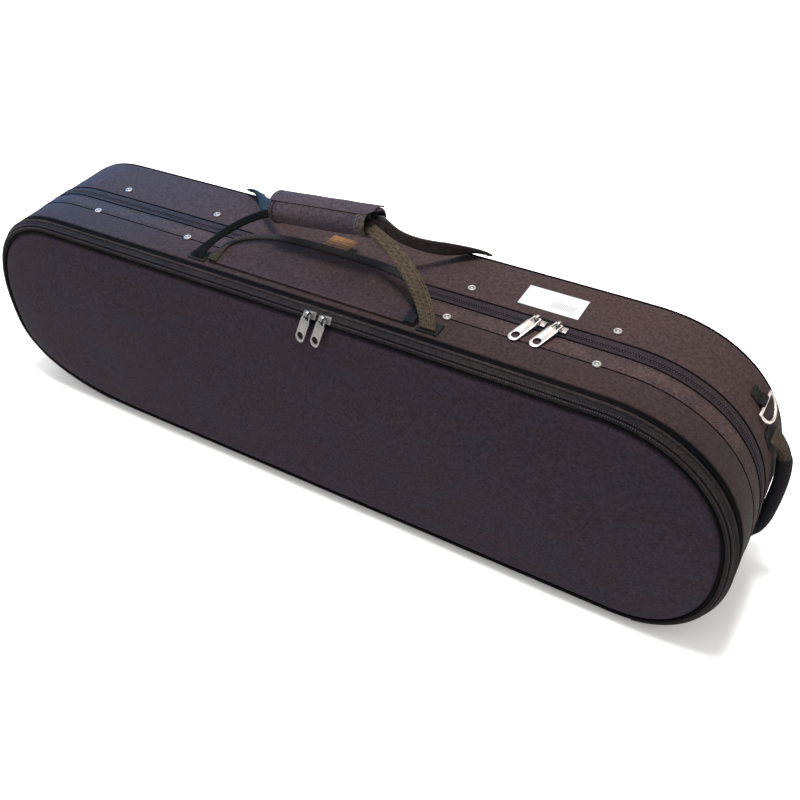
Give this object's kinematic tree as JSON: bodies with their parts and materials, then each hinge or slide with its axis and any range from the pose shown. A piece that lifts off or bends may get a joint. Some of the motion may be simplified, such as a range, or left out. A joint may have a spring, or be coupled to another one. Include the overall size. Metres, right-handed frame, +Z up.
{
  "type": "violin case",
  "caption": "Oblong soft-covered violin case standing on its long hinge edge: zipped lid with front pocket, padded carrying loops on top, end handle, D-ring tabs and a fitted violin bed",
  "frame": {"origin": "on the floor at the case's mid-length, on the plane where lid and back shell meet; the lid's hinge axis runs through it", "axes": "+X along the case to the viewer's right, +Y to the back shell, -Y to the pocket side, +Z up"},
  "size_m": [0.8156, 0.1453, 0.2988],
  "materials": {
    "shell_fabric": "coarse woven polyester over a moulded shell, charcoal with a brown cast",
    "panel_fabric": "fine woven polyester, dark charcoal, padded",
    "binding": "rolled binding tape and piping, near black",
    "zip_fabric": "smooth zip tape with a fine nylon coil",
    "webbing": "ribbed polypropylene webbing",
    "foam_lining": "plush-covered foam",
    "nickel": "stamped nickel-plated metal, lightly worn",
    "dark_metal": "die-cast zip slider, dark plating",
    "black_plastic": "moulded turn button",
    "white_label": "plain white sticker",
    "gold_tab": "plain woven tab"
  },
  "bodies": {
    "back_shell": {"back_shell": "shell_fabric", "back_piping": "binding", "violin_bed": "foam_lining", "neck_rest": "foam_lining", "accessory_box": "foam_lining", "zip_tape_back": "zip_fabric", "back_rivet_1": "nickel", "back_rivet_2": "nickel", "back_rivet_3": "nickel", "back_rivet_4": "nickel", "spine_strip_back": "binding", "end_handle": "webbing", "end_handle_tab_top": "webbing", "end_handle_tab_bottom": "webbing", "dring_tab_right": "webbing", "dring_tab_left": "webbing", "sticker": "white_label", "handle_anchor_back_left": "webbing", "handle_anchor_back_right": "webbing"},
    "lid": {"front_shell": "shell_fabric", "front_piping": "binding", "lid_pad": "foam_lining", "zip_tape_front": "zip_fabric", "front_hem": "panel_fabric", "front_rivet_1": "nickel", "front_rivet_2": "nickel", "front_rivet_3": "nickel", "front_rivet_4": "nickel", "spine_strip_front": "binding", "flap": "panel_fabric", "gold_tab": "gold_tab", "bow_tip_pocket": "foam_lining", "pocket_gusset": "panel_fabric", "pocket_zip_tape": "panel_fabric", "handle_anchor_front_left": "webbing", "handle_anchor_front_right": "webbing"},
    "pocket_cover": {"pocket_panel": "panel_fabric", "pocket_panel_piping": "binding", "pocket_cover_tape": "panel_fabric"},
    "front_loop": {"handle_front_strap": "webbing", "grip_front_pad": "panel_fabric"},
    "back_loop": {"handle_back_strap": "webbing", "grip_back_pad": "panel_fabric"},
    "accessory_lid": {"accessory_lid": "foam_lining"},
    "neck_strap": {"neck_strap": "webbing"},
    "bow_spinner_1": {"bow_spinner_1": "black_plastic"},
    "bow_spinner_2": {"bow_spinner_2": "black_plastic"},
    "dring_right": {"dring_right": "nickel"},
    "dring_left": {"dring_left": "nickel"},
    "main_slider_left": {"main_slider_left": "dark_metal"},
    "main_pull_left": {"main_pull_left": "nickel"},
    "main_slider_right": {"main_slider_right": "dark_metal"},
    "main_pull_right": {"main_pull_right": "nickel"},
    "pocket_slider_left": {"pocket_slider_left": "dark_metal"},
    "pocket_pull_left": {"pocket_pull_left": "nickel"},
    "pocket_slider_right": {"pocket_slider_right": "dark_metal"},
    "pocket_pull_right": {"pocket_pull_right": "nickel"}
  },
  "joints": [
    {"name": "lid_hinge", "type": "hinge", "parent": "back_shell", "child": "lid", "pos_m": [0, 0, 0], "axis": [1, 0, 0], "range_deg": [0, 105]},
    {"name": "pocket_cover_hinge", "type": "hinge", "parent": "lid", "child": "pocket_cover", "pos_m": [0, -0.06955, 0.0045], "axis": [1, 0, 0], "range_deg": [0, 120]},
    {"name": "front_loop_hinge", "type": "hinge", "parent": "lid", "child": "front_loop", "pos_m": [0, -0.047, 0.23601], "axis": [1, 0, 0], "range_deg": [0, 105]},
    {"name": "back_loop_hinge", "type": "hinge", "parent": "back_shell", "child": "back_loop", "pos_m": [0, 0.06816, 0.23366], "axis": [-1, 0, 0], "range_deg": [0, 105]},
    {"name": "accessory_lid_hinge", "type": "hinge", "parent": "back_shell", "child": "accessory_lid", "pos_m": [-0.1175, 0.0055, 0.212], "axis": [-1, 0, 0], "range_deg": [0, 90]},
    {"name": "neck_strap_hinge", "type": "hinge", "parent": "back_shell", "child": "neck_strap", "pos_m": [-0.0425, 0.0064, 0.1405], "axis": [-1, 0, 0], "range_deg": [0, 90]},
    {"name": "bow_spinner_1_turn", "type": "hinge", "parent": "lid", "child": "bow_spinner_1", "pos_m": [0.30005, -0.0464, 0.06], "axis": [0, 1, 0], "range_deg": [-90, 90]},
    {"name": "bow_spinner_2_turn", "type": "hinge", "parent": "lid", "child": "bow_spinner_2", "pos_m": [0.30005, -0.0464, 0.165], "axis": [0, 1, 0], "range_deg": [-90, 90]},
    {"name": "dring_right_swing", "type": "hinge", "parent": "back_shell", "child": "dring_right", "pos_m": [0.37805, 0.0405, 0.1871], "axis": [0, -1, 0], "range_deg": [0, 100]},
    {"name": "dring_left_swing", "type": "hinge", "parent": "back_shell", "child": "dring_left", "pos_m": [-0.39396, 0.0405, 0.14516], "axis": [0, 1, 0], "range_deg": [0, 100]},
    {"name": "main_slider_left_run", "type": "slide", "parent": "back_shell", "child": "main_slider_left", "axis": [1, 0, -0.0087], "range_m": [-0.04, 0]},
    {"name": "main_slider_right_run", "type": "slide", "parent": "back_shell", "child": "main_slider_right", "axis": [1, 0, -0.0095], "range_m": [0, 0.035]},
    {"name": "main_pull_left_hinge", "type": "hinge", "parent": "main_slider_left", "child": "main_pull_left", "pos_m": [0.20397, 0, 0.23811], "axis": [-0.9272, 0.3746, 0], "range_deg": [0, 150]},
    {"name": "main_pull_right_hinge", "type": "hinge", "parent": "main_slider_right", "child": "main_pull_right", "pos_m": [0.222, 0, 0.23795], "axis": [-0.9272, 0.3746, 0], "range_deg": [0, 150]},
    {"name": "pocket_slider_left_run", "type": "slide", "parent": "pocket_cover", "child": "pocket_slider_left", "axis": [1, 0, 0], "range_m": [-0.06, 0]},
    {"name": "pocket_slider_right_run", "type": "slide", "parent": "pocket_cover", "child": "pocket_slider_right", "axis": [1, 0, 0], "range_m": [0, 0.06]},
    {"name": "pocket_pull_left_hinge", "type": "hinge", "parent": "pocket_slider_left", "child": "pocket_pull_left", "pos_m": [0.03096, -0.06957, 0.232], "axis": [-0.9272, 0.2408, 0.287], "range_deg": [0, 115]},
    {"name": "pocket_pull_right_hinge", "type": "hinge", "parent": "pocket_slider_right", "child": "pocket_pull_right", "pos_m": [0.04596, -0.06957, 0.23198], "axis": [-0.9272, 0.2408, 0.287], "range_deg": [0, 115]}
  ]
}
